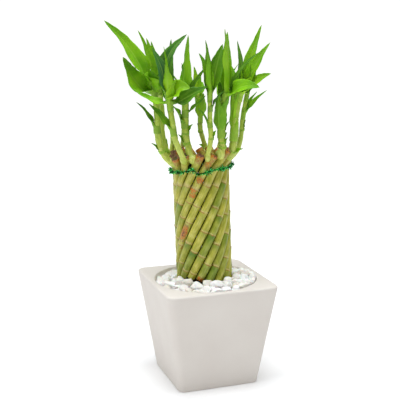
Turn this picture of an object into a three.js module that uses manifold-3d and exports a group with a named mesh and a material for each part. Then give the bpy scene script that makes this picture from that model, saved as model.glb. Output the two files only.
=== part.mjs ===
// A lucky bamboo: sixteen canes twisted into a hollow tower and tied with tinsel wire, each with
// one leafy shoot, standing in a square ceramic pot filled with soil and white pebbles.
// Millimetres, +Z up. The origin is the middle of the pot's underside, X and Y run along its sides.
import * as THREE from "three";
import { mergeGeometries, mergeVertices } from "three/addons/utils/BufferGeometryUtils.js";
import Module from "manifold-3d";

const wasm = await Module();
wasm.setup();

// ---------------------------------------------------------------- driving dimensions, mm and degrees

const GAP = 0.3; // clear space between neighbouring pieces

const POT_HEIGHT = 112;
const POT_TOP_SIDE = 125;
const POT_BASE_SIDE = 91.5;
const POT_CORNER = 10; // radius of the four upright corners at the rim
const POT_EDGE = 2; // rounding of the rim's outer edge and of the foot
const MOUTH_RADIUS = 56; // the round opening in the flat rim
const WELL_RADIUS = 38; // the inside, at the bottom
const MOUTH_LIP = 1.6; // rounding of the opening's edge
const POT_FLOOR = 8;

const SOIL_TOP = 98;
const WELL_HOLE = 32; // radius of the plain hole that the bundle of canes stands in
const HOLE_X = -0.9;
const BED_EDGE = 104; // the pebbles' packed bed at the pot's wall, under the loose stones
const BED_INSET = 1.5; // from the pot's wall to that bed, whose outer stones reach the wall
const BED_MOUND = 4; // how much higher it is heaped against the canes
const BED_TILT = 2.4; // and how much it rises from the middle to the front
const PEBBLE_RINGS = [
  { radius: 37.6, stones: 18 },
  { radius: 49.4, stones: 25 },
];
const PEBBLE_SMALL = 5.9; // half a stone's length
const PEBBLE_BIG = 6.8;

const PLANT_YAW = -19.5; // the bundle's own front, turned against the pot's sides
const CANES = 16;
const RING_RADIUS = 26.3; // from the bundle's middle to each cane's middle
const CANE_RADIUS = 4.25;
const CANE_FOOT = 76;
const FOOT_SLANT = 0.5; // how far a slanting cane's square-cut foot dips, as a share of its radius
const LONGEST_STEP = 32; // of a cane's straight stretches
const TIE_HEIGHT = 234;
const TWIST = 1.1; // degrees round the bundle for each millimetre up
const FIRST_ANGLE = -84; // where the first cane stands at the tie, seen from above
const NODE_SWELL = 0.25; // how far a node's ring stands out of the cane
const NODE_HALF = 1.4; // half the height of that ring
const LOWEST_NODE = 120;
const LEAN_START = 115;
const LEAN_X = -1.5; // the bundle's middle at LEAN_START
const LEAN_PER_MM = -0.034; // how it leans from there up

const TIE_RADIUS = 33;
const TIE_WIRE = 1.3;
const TIE_SLOPE = 0.1;
const BRISTLES = 38;
const BRISTLE_RADIUS = 0.75;

const SHEATH_MOUTH = 1.12; // the stem's radius at the mouth of each leaf sheath, as a share
const SHEATH_FOOT = 0.95;
const BLADE_THICK = 1.2;
const BLADE_KEEL = 0.3; // how deep the blade is folded at its middle, as a share of its half width

// ---------------------------------------------------------------- solids and meshes

const radians = THREE.MathUtils.degToRad;

function solid(geometry) {
  geometry.deleteAttribute("normal");
  geometry.deleteAttribute("uv");
  const merged = mergeVertices(geometry, 1e-4);
  return new wasm.Manifold(
    new wasm.Mesh({
      numProp: 3,
      vertProperties: merged.attributes.position.array,
      triVerts: new Uint32Array(merged.index.array),
    }),
  );
}

// The biggest body of a solid, without loose scraps or sealed hollows.
function mainBody(whole) {
  const bodies = whole.decompose();
  return bodies.sort((a, b) => b.volume() - a.volume())[0];
}

function geometryOf(body) {
  const { numProp, vertProperties, triVerts } = body.getMesh();
  const position = new THREE.BufferAttribute(vertProperties, numProp);
  const indexed = new THREE.BufferGeometry()
    .setAttribute("position", position)
    .setIndex(new THREE.BufferAttribute(triVerts, 1));
  indexed.computeVertexNormals();
  return indexed;
}

function mesh(name, body, material) {
  const made = new THREE.Mesh(geometryOf(mainBody(body)), material);
  made.name = name;
  return made;
}

// A repeatable draw between low and high.
function drawer(seed) {
  let state = seed;
  return (low, high) => {
    state = (state * 16807) % 2147483647;
    return low + ((high - low) * state) / 2147483647;
  };
}

// Moves every vertex of a geometry to where place(vertex) puts it.
function reshape(geometry, place) {
  const position = geometry.attributes.position;
  for (let i = 0; i < position.count; i += 1) {
    const moved = place(new THREE.Vector3().fromBufferAttribute(position, i));
    position.setXYZ(i, moved.x, moved.y, moved.z);
  }
  return geometry;
}

// A round rod along stations { at, along, radius }, one ring of vertices for each.
function rod(stations, sides) {
  const last = stations.length - 1;
  const straight = new THREE.CylinderGeometry(1, 1, last, sides, last);
  const rings = stations.map(({ at, along, radius }) => {
    const across = new THREE.Vector3(0, -1, 0).cross(along).normalize();
    const over = across.clone().cross(along).normalize();
    return { at, across, over, radius };
  });
  return solid(
    reshape(straight, (v) => {
      const ring = rings[Math.round(v.y + last / 2)];
      const out = ring.across.clone().multiplyScalar(v.x * ring.radius);
      return out.addScaledVector(ring.over, v.z * ring.radius).add(ring.at);
    }),
  );
}

// ---------------------------------------------------------------- pot

// A square with round corners, drawn at the rim's full size.
function roundedSquare(side, corner) {
  const half = side / 2;
  const shape = new THREE.Shape();
  shape.moveTo(-half + corner, -half);
  shape.lineTo(half - corner, -half);
  shape.absarc(half - corner, -half + corner, corner, -Math.PI / 2, 0);
  shape.absarc(half - corner, half - corner, corner, 0, Math.PI / 2);
  shape.absarc(-half + corner, half - corner, corner, Math.PI / 2, Math.PI);
  shape.absarc(-half + corner, -half + corner, corner, Math.PI, 1.5 * Math.PI);
  return shape;
}

function potBlank() {
  const block = new THREE.ExtrudeGeometry(
    roundedSquare(POT_TOP_SIDE - 2 * POT_EDGE, POT_CORNER - POT_EDGE),
    {
      depth: POT_HEIGHT - 2 * POT_EDGE,
      curveSegments: 4,
      bevelEnabled: true,
      bevelThickness: POT_EDGE,
      bevelSize: POT_EDGE,
      bevelSegments: 2,
    },
  );
  block.translate(0, 0, POT_EDGE);
  return solid(
    reshape(block, (v) => {
      const up = (v.z - POT_EDGE) / (POT_HEIGHT - 2 * POT_EDGE);
      const share = THREE.MathUtils.lerp(POT_BASE_SIDE / POT_TOP_SIDE, 1, up);
      return new THREE.Vector3(v.x * share, v.y * share, v.z);
    }),
  );
}

// The inner wall's radius at a height, less a clearance.
function wellRadius(z, clearance = 0) {
  const share = (z - POT_FLOOR) / (POT_HEIGHT - POT_FLOOR);
  return THREE.MathUtils.lerp(WELL_RADIUS, MOUTH_RADIUS, share) - clearance;
}

function lathe(points, sides) {
  const profile = points.map(([r, z]) => new THREE.Vector2(r, z));
  return solid(new THREE.LatheGeometry(profile, sides).rotateX(Math.PI / 2));
}

function pot() {
  const lipFoot = POT_HEIGHT - MOUTH_LIP;
  const well = lathe(
    [
      [0, POT_FLOOR],
      [WELL_RADIUS, POT_FLOOR],
      [wellRadius(lipFoot), lipFoot],
      [MOUTH_RADIUS + 0.3 * MOUTH_LIP, POT_HEIGHT - 0.3 * MOUTH_LIP],
      [MOUTH_RADIUS + MOUTH_LIP, POT_HEIGHT + 0.1],
      [0, POT_HEIGHT + 0.1],
    ],
    40,
  );
  return potBlank().subtract(well);
}

// ---------------------------------------------------------------- soil and pebbles

// The plain round hole that the bundle of canes stands in, from a height upwards.
function bundleHole(floor) {
  const hole = new THREE.CylinderGeometry(WELL_HOLE, WELL_HOLE, POT_HEIGHT, 32);
  return solid(hole.rotateX(Math.PI / 2).translate(HOLE_X, 0, floor + POT_HEIGHT / 2));
}

function soil() {
  const foot = POT_FLOOR + GAP;
  const body = lathe(
    [
      [0, foot],
      [wellRadius(foot, GAP), foot],
      [wellRadius(SOIL_TOP, GAP), SOIL_TOP],
      [0, SOIL_TOP],
    ],
    32,
  );
  return body.subtract(bundleHole(CANE_FOOT - CANE_RADIUS * FOOT_SLANT - GAP));
}

// The level of the packed pebbles: heaped against the canes, and higher at the plant's front.
function bedLevel(x, y) {
  const fromWall = 1 - (Math.hypot(x, y) - WELL_HOLE) / (MOUTH_RADIUS - WELL_HOLE);
  return BED_EDGE + BED_MOUND * Math.min(1, fromWall) + (BED_TILT * (0.9 * x - y)) / MOUTH_RADIUS;
}

function pebble(draw, x, y, size) {
  const stone = new THREE.IcosahedronGeometry(1, 0);
  stone.rotateX(draw(0, 3)).rotateZ(draw(0, 3));
  stone.scale(size * draw(0.95, 1.25), size * draw(0.8, 1), size * draw(0.65, 0.9));
  stone.rotateZ(draw(0, 6.3)).rotateX(draw(-0.35, 0.35));
  return solid(stone.translate(x, y, bedLevel(x, y) + draw(2, 4)));
}

function pebbles() {
  const draw = drawer(43);
  const foot = SOIL_TOP + GAP;
  const slab = new THREE.LatheGeometry(
    [
      new THREE.Vector2(0, foot),
      new THREE.Vector2(wellRadius(foot, BED_INSET), foot),
      new THREE.Vector2(wellRadius(BED_EDGE, BED_INSET), BED_EDGE),
      new THREE.Vector2(WELL_HOLE, BED_EDGE),
      new THREE.Vector2(0, BED_EDGE),
    ],
    24,
  ).rotateX(Math.PI / 2);
  let bed = solid(
    reshape(slab, (v) => new THREE.Vector3(v.x, v.y, v.z > BED_EDGE - 1 ? bedLevel(v.x, v.y) : v.z)),
  );
  for (const { radius, stones } of PEBBLE_RINGS) {
    for (let i = 0; i < stones; i += 1) {
      const angle = radians((360 * (i + draw(-0.25, 0.25))) / stones);
      const out = radius + draw(-1.5, 1.5);
      const size = draw(PEBBLE_SMALL, PEBBLE_BIG);
      bed = bed.add(pebble(draw, out * Math.cos(angle), out * Math.sin(angle), size));
    }
  }
  const room = lathe(
    [
      [0, foot - 1],
      [wellRadius(foot - 1, GAP), foot - 1],
      [wellRadius(POT_HEIGHT, GAP), POT_HEIGHT],
      [wellRadius(POT_HEIGHT, GAP), POT_HEIGHT + 20],
      [0, POT_HEIGHT + 20],
    ],
    40,
  );
  return bed.intersect(room).subtract(bundleHole(foot - 1));
}

// ---------------------------------------------------------------- canes

// Canes are counted round the bundle from its front, towards the right.
// turn, spread and top: how far round, how far out and how high the cut top is, past the tie.
const CANE_TOPS = [
  { turn: 24, spread: 30, top: 252 },
  { turn: 33, spread: 33, top: 256 },
  { turn: 32, spread: 35, top: 254 },
  { turn: 30, spread: 35, top: 253 },
  { turn: 27, spread: 34, top: 252 },
  { turn: 24, spread: 32, top: 251 },
  { turn: 22, spread: 31, top: 253 },
  { turn: 20, spread: 30, top: 251 },
  { turn: 19, spread: 30, top: 250 },
  { turn: 18, spread: 30, top: 252 },
  { turn: 17, spread: 30, top: 250 },
  { turn: 16, spread: 30, top: 251 },
  { turn: 14, spread: 31, top: 249 },
  { turn: 8, spread: 33, top: 248 },
  { turn: 8, spread: 31, top: 252 },
  { turn: 18, spread: 29, top: 252 },
];

// Heights of the node rings on the canes that make up the front, from the top down.
const FRONT_NODES = new Map([
  [0, [216, 202, 185, 160]],
  [1, [219, 198, 180, 154, 132]],
  [2, [218, 191, 157, 134]],
  [3, [220, 195, 170, 148, 126]],
  [4, [203, 185, 166, 143]],
  [5, [215, 185, 155, 134]],
  [6, [208, 187, 164, 131]],
  [7, [212, 190, 166, 138]],
  [8, [214, 192, 167, 146, 123]],
  [13, [218, 197, 175]],
  [14, [219, 200, 178]],
  [15, [219, 199, 172]],
]);

// Two canes are shorter than the rest, and end just above the pebbles.
const SHORT_FEET = new Map([
  [4, 117.5],
  [5, 116.5],
]);

function bundleMiddle(z) {
  return LEAN_X + LEAN_PER_MM * (z - LEAN_START);
}

// The middle of a cane at height z.
function caneAxis(k, z) {
  const { turn, spread, top } = CANE_TOPS[k];
  const past = Math.max(0, (z - TIE_HEIGHT) / (top - TIE_HEIGHT));
  const below = Math.min(0, z - TIE_HEIGHT);
  const angle = radians(FIRST_ANGLE + (360 * k) / CANES + TWIST * below + turn * past);
  const radius = RING_RADIUS + (spread - RING_RADIUS) * past ** 1.5;
  return new THREE.Vector3(
    bundleMiddle(z) + radius * Math.cos(angle),
    radius * Math.sin(angle),
    z,
  );
}

// The listed node rings, and below them others 19 to 26 apart.
function caneNodes(k) {
  const draw = drawer(100 + k);
  const heights = [...(FRONT_NODES.get(k) ?? [draw(208, 222)])];
  for (let z = heights.at(-1) - draw(19, 26); z > LOWEST_NODE; z -= draw(19, 26)) heights.push(z);
  return heights;
}

function cane(k, clearance = 0) {
  const { top } = CANE_TOPS[k];
  const foot = SHORT_FEET.get(k) ?? CANE_FOOT;
  const rows = [{ z: foot, swell: 0 }];
  const climbTo = (z) => {
    const below = rows.at(-1).z;
    const steps = Math.ceil((z - below) / LONGEST_STEP);
    for (let i = 1; i <= steps; i += 1) rows.push({ z: below + ((z - below) * i) / steps, swell: 0 });
  };
  for (const z of caneNodes(k).toReversed()) {
    climbTo(z - NODE_HALF);
    rows.push({ z, swell: NODE_SWELL });
    rows.push({ z: z + NODE_HALF, swell: 0 });
  }
  climbTo(TIE_HEIGHT);
  rows.push({ z: (TIE_HEIGHT + top) / 2, swell: 0 });
  rows.push({ z: top, swell: 0 });
  const stations = rows.map(({ z, swell }) => {
    const along = caneAxis(k, z + 1).sub(caneAxis(k, z - 1)).normalize();
    return { at: caneAxis(k, z), along, radius: CANE_RADIUS + swell + clearance };
  });
  return rod(stations, 8);
}

// ---------------------------------------------------------------- tie

// The tie leans: lower at the left, higher at the right.
function tiePoint(angle, radius) {
  const x = radius * Math.cos(angle);
  return new THREE.Vector3(
    bundleMiddle(TIE_HEIGHT) + x,
    radius * Math.sin(angle),
    TIE_HEIGHT + 1 + TIE_SLOPE * x,
  );
}

function tie() {
  const draw = drawer(7);
  const ring = new THREE.TorusGeometry(TIE_RADIUS, TIE_WIRE, 5, 32);
  let tinsel = solid(
    reshape(ring, (v) => {
      const angle = Math.atan2(v.y, v.x);
      const at = tiePoint(angle, Math.hypot(v.x, v.y));
      at.z += v.z;
      return at;
    }),
  );
  for (let i = 0; i < BRISTLES; i += 1) {
    const angle = (2 * Math.PI * i) / BRISTLES;
    const length = draw(2.6, 4.2);
    const bristle = new THREE.ConeGeometry(BRISTLE_RADIUS, length, 3);
    bristle.translate(0, length / 2 - 0.2, 0);
    bristle.rotateX(draw(-0.6, 0.6)).rotateZ(-Math.PI / 2 + draw(-1.5, 1.5));
    bristle.rotateX(draw(-0.3, 0.3)).rotateZ(angle);
    const { x, y, z } = tiePoint(angle, TIE_RADIUS);
    tinsel = tinsel.add(solid(bristle.translate(x, y, z)));
  }
  return tinsel;
}

// The wire's twisted ends, which stick out at the right, as part of the tie.
function tieEnds() {
  const start = tiePoint(0, TIE_RADIUS);
  const twist = [0, 2.5, 5].map((out, i) => ({
    at: new THREE.Vector3(start.x + out, start.y - out, start.z + 0.4 * out),
    along: new THREE.Vector3(1, -1, 0.4).normalize(),
    radius: [1.3, 1.1, 0.7][i],
  }));
  return rod(twist, 5);
}

// ---------------------------------------------------------------- shoots

// Each shoot grows out of the cane of the same number, just below the cut top.
// thick: radius of the stem. path: its middle, in the plant's own directions.
// leaves: [height of the base, heading, rise, length, width, arch, roll, droop, sway]
//   heading: 0 is to the right, 90 to the back, -90 to the front. rise: above the horizontal.
//   arch: how far the leaf bows up, as a share of its length. roll: turn about its own length.
//   droop, sway: how far the tip hangs down and swings aside, as shares, both 0 when left out.
const SHOOTS = [
  {
    thick: 2.65,
    path: [
      [2, -29, 252],
      [4, -29, 262],
      [5, -29, 272],
      [4, -28, 287],
      [4, -28, 301],
      [4, -28, 320],
    ],
    leaves: [
      [318, 36, 86, 52, 12, 0.02, 0, 0, -0.25],
      [316, -68, 85, 40, 10, 0.02, 0, 0, 0.1],
      [315, 42, 71, 54, 18, 0.02, -30],
      [317, 152, 72, 42, 11, 0.09, 35],
      [313, 166, 75, 31, 9.5, 0.03, 35],
      [302, -19, 49, 23, 7, 0.03, -30],
      [285, -157, 52, 21, 5.5, 0.02, 40],
      [270, 0, 56, 10, 5.5, 0.02, -40],
    ],
  },
  {
    thick: 3.9,
    path: [
      [15, -22, 252],
      [17, -21, 260],
      [16, -20, 269],
      [16, -20, 280],
      [17, -21, 298],
      [21, -22, 316],
    ],
    leaves: [
      [312, -32, 81, 70, 14, 0.02, 0, 0, 0.3],
      [312, -40, 15, 45, 19, 0.14, -55],
      [314, 3, 51, 58, 6, 0.09, -40],
      [313, 82, 79, 67, 13, 0.03, 0],
      [276, -116, 76, 38, 15.5, -0.02, 0],
      [309, 143, 65, 23, 9, 0.03, 35],
      [284, -36, 72, 32, 13.5, 0.03, 0],
      [274, 0, 57, 15, 5, 0.02, -40],
      [266, 0, 58, 11, 5, 0.02, -40],
      [260, -9, 60, 12, 5, 0.02, -40],
    ],
  },
  {
    thick: 4.1,
    path: [
      [27, -12, 252],
      [28.5, -12, 259],
      [29.5, -11, 269],
      [30.5, -11, 288],
      [32.5, -11, 301],
      [36, -11, 318],
    ],
    leaves: [
      [315, 32, 80, 55, 12, 0.02, 0, 0, -0.35],
      [313, -11, 60, 63, 17, 0.03, -50],
      [313, -30, 33, 43, 15.5, 0.08, -60],
      [315, 15, 71, 71, 13, 0.02, -55, -0.05, 0],
      [316, 38, 68, 53, 11.5, 0.03, -40],
      [253, -9, 19, 13, 5.5, 0.02, -40],
      [272, -124, 83, 49, 10, 0.02, 0],
      [279, -42, 80, 43, 10, 0.02, 0],
      [314, 21, 71, 42, 15.5, 0.03, -40],
    ],
  },
  {
    thick: 2.5,
    path: [
      [33, 0, 252],
      [36, 1, 259],
      [38, 2, 270],
      [39, 3, 285],
      [41, 4, 298],
      [44, 5, 314],
    ],
    leaves: [
      [311, 40, 78, 50, 9, 0.03, 0],
      [293, -9, 45, 35, 6, 0.04, -50],
      [298, 20, 50, 23, 4, 0.03, -40],
      [312, 20, 69, 33, 13, 0.05, -30],
      [276, 0, 69, 11, 5.5, 0.02, -40],
    ],
  },
  {
    thick: 2.8,
    path: [
      [33, 13, 251],
      [33, 12, 262],
      [33, 11, 275],
      [33, 11, 290],
      [36, 12, 312],
    ],
    leaves: [
      [308, 45, 60, 46, 12, 0.05, 0],
      [309, 130, 69, 37, 10, 0.05, 0],
      [300, 45, 45, 38, 10, 0.15, 0],
      [308, -60, 74, 34, 9, 0.05, 0],
    ],
  },
  {
    thick: 2.8,
    path: [
      [27, 25, 251],
      [30, 24, 262],
      [31, 23, 275],
      [31.5, 23, 290],
      [33, 25, 312],
    ],
    leaves: [
      [308, 40, 58, 56, 14, 0.06, 0],
      [309, 150, 74, 44, 10, 0.05, 0],
      [300, 75, 38, 46, 12, 0.15, 0],
      [306, -160, 78, 40, 9, 0.05, 0],
    ],
  },
  {
    thick: 2.6,
    path: [
      [14, 32, 251],
      [17, 33, 262],
      [18, 33, 275],
      [18, 34, 290],
      [20, 36, 312],
    ],
    leaves: [
      [308, 75, 62, 60, 14, 0.06, 0],
      [309, -173, 78, 38, 9, 0.05, 0],
      [298, 95, 30, 44, 12, 0.2, 0],
      [305, 20, 66, 42, 10, 0.05, 0],
    ],
  },
  {
    thick: 2.7,
    path: [
      [0, 35, 250],
      [-3, 36, 261],
      [-6, 36, 273],
      [-6, 36, 285],
      [-8, 36, 296],
      [-9, 36, 312],
    ],
    leaves: [
      [307, 125, 78, 35, 9.5, 0.03, 10],
      [307, 49, 77, 24, 9, 0.04, -10],
      [285, -66, 73, 29, 14, 0.04, 0],
      [305, 85, 40, 31, 14.5, 0.15, 0],
      [300, -152, 67, 27, 11.5, 0.04, 40],
      [270, -166, 65, 10, 5.5, 0.02, 40],
      [252, -172, 26, 8, 5, 0.02, 40],
    ],
  },
  {
    thick: 2.4,
    path: [
      [-17, 35, 250],
      [-20, 37, 261],
      [-21, 38, 275],
      [-21, 38, 290],
      [-21, 39, 312],
    ],
    leaves: [
      [308, 105, 72, 40, 15.5, 0.06, 0],
      [309, 21, 57, 20, 10, 0.05, 0],
      [300, 125, 35, 46, 12, 0.15, 0],
      [306, -130, 78, 40, 9, 0.05, 0],
    ],
  },
  {
    thick: 2.6,
    path: [
      [-26, 29, 250],
      [-25, 28, 261],
      [-24, 27, 275],
      [-23, 27, 290],
      [-23, 28, 312],
    ],
    leaves: [
      [308, 164, 84, 34, 10, 0.05, 0],
      [309, -62, 80, 34, 10, 0.05, 0],
      [306, -160, 60, 38, 9, 0.06, 0],
    ],
  },
  {
    thick: 2.8,
    path: [
      [-33, 20, 250],
      [-33, 21, 261],
      [-35, 21, 275],
      [-37, 22, 288],
      [-39, 23, 312],
    ],
    leaves: [
      [308, 140, 58, 62, 15, 0.06, 0],
      [309, 100, 78, 46, 10, 0.05, 0],
      [298, 155, 32, 44, 12, 0.18, 0],
    ],
  },
  {
    thick: 2.6,
    path: [
      [-37, 9, 250],
      [-36, 9, 261],
      [-36, 8, 275],
      [-38, 8, 288],
      [-40, 9, 312],
    ],
    leaves: [
      [308, 172, 56, 44, 12, 0.08, 30],
      [300, -120, 66, 36, 9, 0.05, 0],
      [309, 17, 73, 70, 18.5, 0.2, -50],
      [309, 75, 81, 63, 10, 0.02, 0],
    ],
  },
  {
    thick: 3,
    path: [
      [-40, -4, 249],
      [-45, -3, 264],
      [-47, -2, 276],
      [-46.5, -1, 291],
      [-48, 0, 307],
      [-50, 1, 325],
    ],
    leaves: [
      [320, -175, 70, 64, 11, 0.03, 50],
      [320, 164, 75, 54, 11.5, 0.02, 45],
      [319, 145, 78, 51, 10, 0.02, 35],
      [254, -81, 86, 13, 5, 0.02, -30],
    ],
  },
  {
    thick: 3.6,
    path: [
      [-41, -14, 246],
      [-48, -15, 259],
      [-51, -15, 274],
      [-51, -15, 289],
      [-52, -15, 302],
      [-55, -16, 324],
    ],
    leaves: [
      [321, -171, 54, 85, 20, 0.055, 55],
      [314, -165, 50, 51, 27, -0.1, 55],
      [316, -120, 48, 26, 22, 0.22, 30],
      [315, -108, 67, 27, 20, 0.06, 0],
      [315, -41, 74, 22, 11, 0.06, 0],
      [280, -172, 51, 34, 8.5, 0.04, 30],
      [254, -170, 39, 15, 6, 0.02, 30],
    ],
  },
  {
    thick: 3,
    path: [
      [-23, -27, 246],
      [-29, -31, 261],
      [-33.5, -33, 274],
      [-34.5, -34, 287],
      [-36.5, -34, 298],
      [-38, -34, 313],
    ],
    leaves: [
      [312, 158, 70, 54, 14, 0.05, 40],
      [306, -115, 78, 42, 13.5, 0.03, 0],
      [310, 143, 83, 54, 6, 0.02, 0],
      [309, -25, 30, 27, 23.5, 0.24, -62],
      [310, -40, 65, 22, 12.5, 0.05, 0],
      [305, -15, 26, 44, 18.5, 0, -55],
      [279, -171, 48, 37, 9.5, 0.03, 50],
      [306, -171, 18, 39, 10, -0.04, 40, -0.1, 0],
      [312, 60, 79, 43, 9.5, 0.04, 0],
    ],
  },
  {
    thick: 3.7,
    path: [
      [-16, -24, 250],
      [-19, -22, 261],
      [-21.5, -21, 271],
      [-22, -20, 283],
      [-22, -20, 296],
      [-22, -20, 316],
    ],
    leaves: [
      [312, -142, 89, 63, 15.5, 0.02, 0, 0, -0.12],
      [313, 46, 82, 38, 9, 0.02, 0],
      [315, 10, 51, 37, 6.5, 0, -40],
      [284, -158, 55, 24, 13, 0.05, 30],
      [296, -8, 39, 28, 6, -0.04, -40],
      [275, 0, 48, 12, 6, 0.02, -40],
      [264, -174, 45, 13, 6, 0.02, 40],
    ],
  },
];

const UP = new THREE.Vector3(0, 0, 1);
const STEM_STEPS = 8;

function stemCurve(k) {
  const root = caneAxis(k, CANE_TOPS[k].top - 9);
  const points = SHOOTS[k].path.map((p) => new THREE.Vector3(...p));
  return new THREE.CatmullRomCurve3([root, ...points]);
}

function stem(k, clearance = 0) {
  const curve = stemCurve(k);
  const stations = [];
  for (let i = 0; i <= STEM_STEPS; i += 1) {
    const t = i / STEM_STEPS;
    const sheath = i % 2 ? SHEATH_MOUTH : SHEATH_FOOT;
    const narrowing = 1 - 0.35 * Math.max(0, t - 0.6);
    stations.push({
      at: curve.getPoint(t),
      along: curve.getTangent(t),
      radius: SHOOTS[k].thick * sheath * narrowing + clearance,
    });
  }
  return rod(stations, 6);
}

// The point of a stem at a height above the ground.
function stemPoint(k, height) {
  const curve = stemCurve(k);
  let low = 0;
  let high = 1;
  for (let i = 0; i < 20; i += 1) {
    const middle = (low + high) / 2;
    if (curve.getPoint(middle).z < height) low = middle;
    else high = middle;
  }
  return curve.getPoint(low);
}

// Half the blade's width along its length, as a share: clasping foot, belly and drawn-out tip.
const BLADE_ROWS = [
  [0, 0],
  [0.14, 0.56],
  [0.38, 0.97],
  [0.66, 0.76],
  [1, 0],
];

// The same for a small leaf on the stem.
const BRACT_ROWS = [
  [0, 0],
  [0.35, 0.95],
  [1, 0],
];
const BRACT_LONGEST = 16; // leaves up to this length are drawn that way

// One leaf: two faces over the same grid, split alike and joined along their shared waved edge.
function leaf(base, spec, clearance = 0) {
  const [, heading, rise, length, width, arch, roll, droop = 0, sway = 0] = spec;
  const h = radians(heading);
  const e = radians(rise);
  const chord = new THREE.Vector3(
    Math.cos(h) * Math.cos(e),
    Math.sin(h) * Math.cos(e),
    Math.sin(e),
  );
  const flat = new THREE.Vector3(Math.sin(h), -Math.cos(h), 0);
  const bow = flat.clone().cross(chord);
  const shape = length > BRACT_LONGEST ? BLADE_ROWS : BRACT_ROWS;
  const rows = shape.map(([t, half], row) => {
    const along = chord
      .clone()
      .addScaledVector(bow, 4 * arch * (1 - 2 * t))
      .addScaledVector(flat, 2.5 * sway * t ** 1.5)
      .addScaledVector(UP, -3 * droop * t ** 2)
      .normalize();
    const level = flat.clone().cross(along).normalize();
    const across = flat
      .clone()
      .multiplyScalar(Math.cos(radians(roll)))
      .addScaledVector(level, Math.sin(radians(roll)));
    const face = across.clone().cross(along).normalize();
    const at = base
      .clone()
      .addScaledVector(chord, length * t)
      .addScaledVector(bow, 4 * arch * length * t * (1 - t))
      .addScaledVector(flat, sway * length * t ** 2.5)
      .addScaledVector(UP, -droop * length * t ** 3);
    const reach = half ? (half * width) / 2 + clearance : 0;
    const wave = (row % 2 ? 0.04 : -0.03) * width * half;
    return { at, across, face, reach, wave, keel: BLADE_KEEL * (1 - 0.7 * t) * reach };
  });
  const last = rows.length - 1;
  const grid = new THREE.PlaneGeometry(2, last, 2, last);
  const faceOf = (sign) =>
    reshape(grid.clone(), (v) => {
      const row = rows[Math.round(v.y + last / 2)];
      const edge = Math.round(v.x);
      const thick = row.reach ? sign * (BLADE_THICK / 2 + clearance) : 0;
      const lift = edge ? row.wave * edge : thick - row.keel;
      return row.at
        .clone()
        .addScaledVector(row.across, edge * row.reach)
        .addScaledVector(row.face, lift);
    });
  const upper = faceOf(1);
  const under = faceOf(-1);
  under.index.array.reverse();
  return solid(mergeGeometries([upper, under]));
}

function shoot(k, clearance = 0) {
  return SHOOTS[k].leaves.reduce(
    (whole, spec) => whole.add(leaf(stemPoint(k, spec[0]), spec, clearance)),
    stem(k, clearance),
  );
}

// ---------------------------------------------------------------- the whole

const finish = (color, roughness, metalness = 0) =>
  new THREE.MeshStandardMaterial({ color, roughness, metalness });
const CERAMIC = finish(0xe2e0da, 0.35);
const EARTH = finish(0x3a2a1e, 0.95);
const MARBLE = finish(0xecebe6, 0.6);
const CANE_SKIN = finish(0xa8b44c, 0.45);
const LEAF_SKIN = finish(0x6fa83a, 0.4);
const TINSEL = finish(0x0d7a3c, 0.3, 0.8);

const group = new THREE.Group();
group.add(mesh("pot", pot(), CERAMIC));

const plant = new THREE.Group();
plant.rotation.z = radians(PLANT_YAW);
group.add(plant);
plant.add(mesh("soil", soil(), EARTH));
plant.add(mesh("pebbles", pebbles(), MARBLE));

const twoDigits = (k) => String(k + 1).padStart(2, "0");
const fatCanes = [];
for (let k = 0; k < CANES; k += 1) {
  plant.add(mesh(`cane_${twoDigits(k)}`, cane(k), CANE_SKIN));
  fatCanes.push(cane(k, GAP));
}
let taken = fatCanes.reduce((all, one) => all.add(one));
plant.add(mesh("tie", tie().add(tieEnds()).subtract(taken), TINSEL));
for (let k = 0; k < CANES; k += 1) {
  plant.add(mesh(`shoot_${twoDigits(k)}`, shoot(k).subtract(taken), LEAF_SKIN));
  taken = taken.add(shoot(k, GAP));
}

export default group;
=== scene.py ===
"""A potted lucky bamboo, dressed round its CAD frame.

Sizes are in millimetres. The pot stands square to the frame. All else is laid out as the camera sees
it, x right, y away and z up, and is then turned by PLANT_YAW."""

from collections import namedtuple
from math import asin, atan2, cos, degrees, exp, hypot, pi, radians, sin, sqrt

import bpy
from mathutils import Matrix, Vector, noise


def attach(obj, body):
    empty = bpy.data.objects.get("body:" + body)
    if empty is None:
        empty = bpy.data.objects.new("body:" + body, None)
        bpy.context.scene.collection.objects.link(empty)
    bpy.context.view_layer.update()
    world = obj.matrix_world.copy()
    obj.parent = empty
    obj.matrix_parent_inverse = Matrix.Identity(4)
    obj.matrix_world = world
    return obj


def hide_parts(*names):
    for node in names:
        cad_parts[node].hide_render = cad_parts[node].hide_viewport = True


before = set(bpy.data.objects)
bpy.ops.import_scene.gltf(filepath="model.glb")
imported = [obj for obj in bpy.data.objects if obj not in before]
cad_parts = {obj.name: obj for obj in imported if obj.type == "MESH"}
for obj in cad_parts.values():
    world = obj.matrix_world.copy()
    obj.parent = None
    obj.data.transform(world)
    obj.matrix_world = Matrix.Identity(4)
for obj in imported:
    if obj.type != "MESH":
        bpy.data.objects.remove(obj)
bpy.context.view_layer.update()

# -------- driving dimensions, mm and degrees

POT_HEIGHT = 112
POT_TOP_SIDE = 125
POT_BASE_SIDE = 91.5
POT_CORNER = 10
POT_EDGE = 2
MOUTH_RADIUS = 56
MOUTH_LIP = 1.6
WELL_RADIUS = 38  # at the pot's floor
POT_FLOOR = 8
WALL_GAP = 0.3  # between the pot and what fills it

SOIL_TOP = 98
SOIL_HEAP = 8  # how much higher the soil lies in the bundle's middle
HEAP_SLOPE = (34, 22)  # the radii between which it rises
SOIL_CRUMBS = 1.6  # how rough its top is

BED_EDGE = 104  # the stones' level at the pot's wall
BED_MOUND = 4  # how much higher it is round the canes
MOUND_RADIUS = 32
BED_TILT = 2.4
FRONT_HEAP = 2.4  # how much higher the stones lie in front of the canes
BED_HOLE = 30.4  # the stones stay outside this radius, where the canes stand

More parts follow.
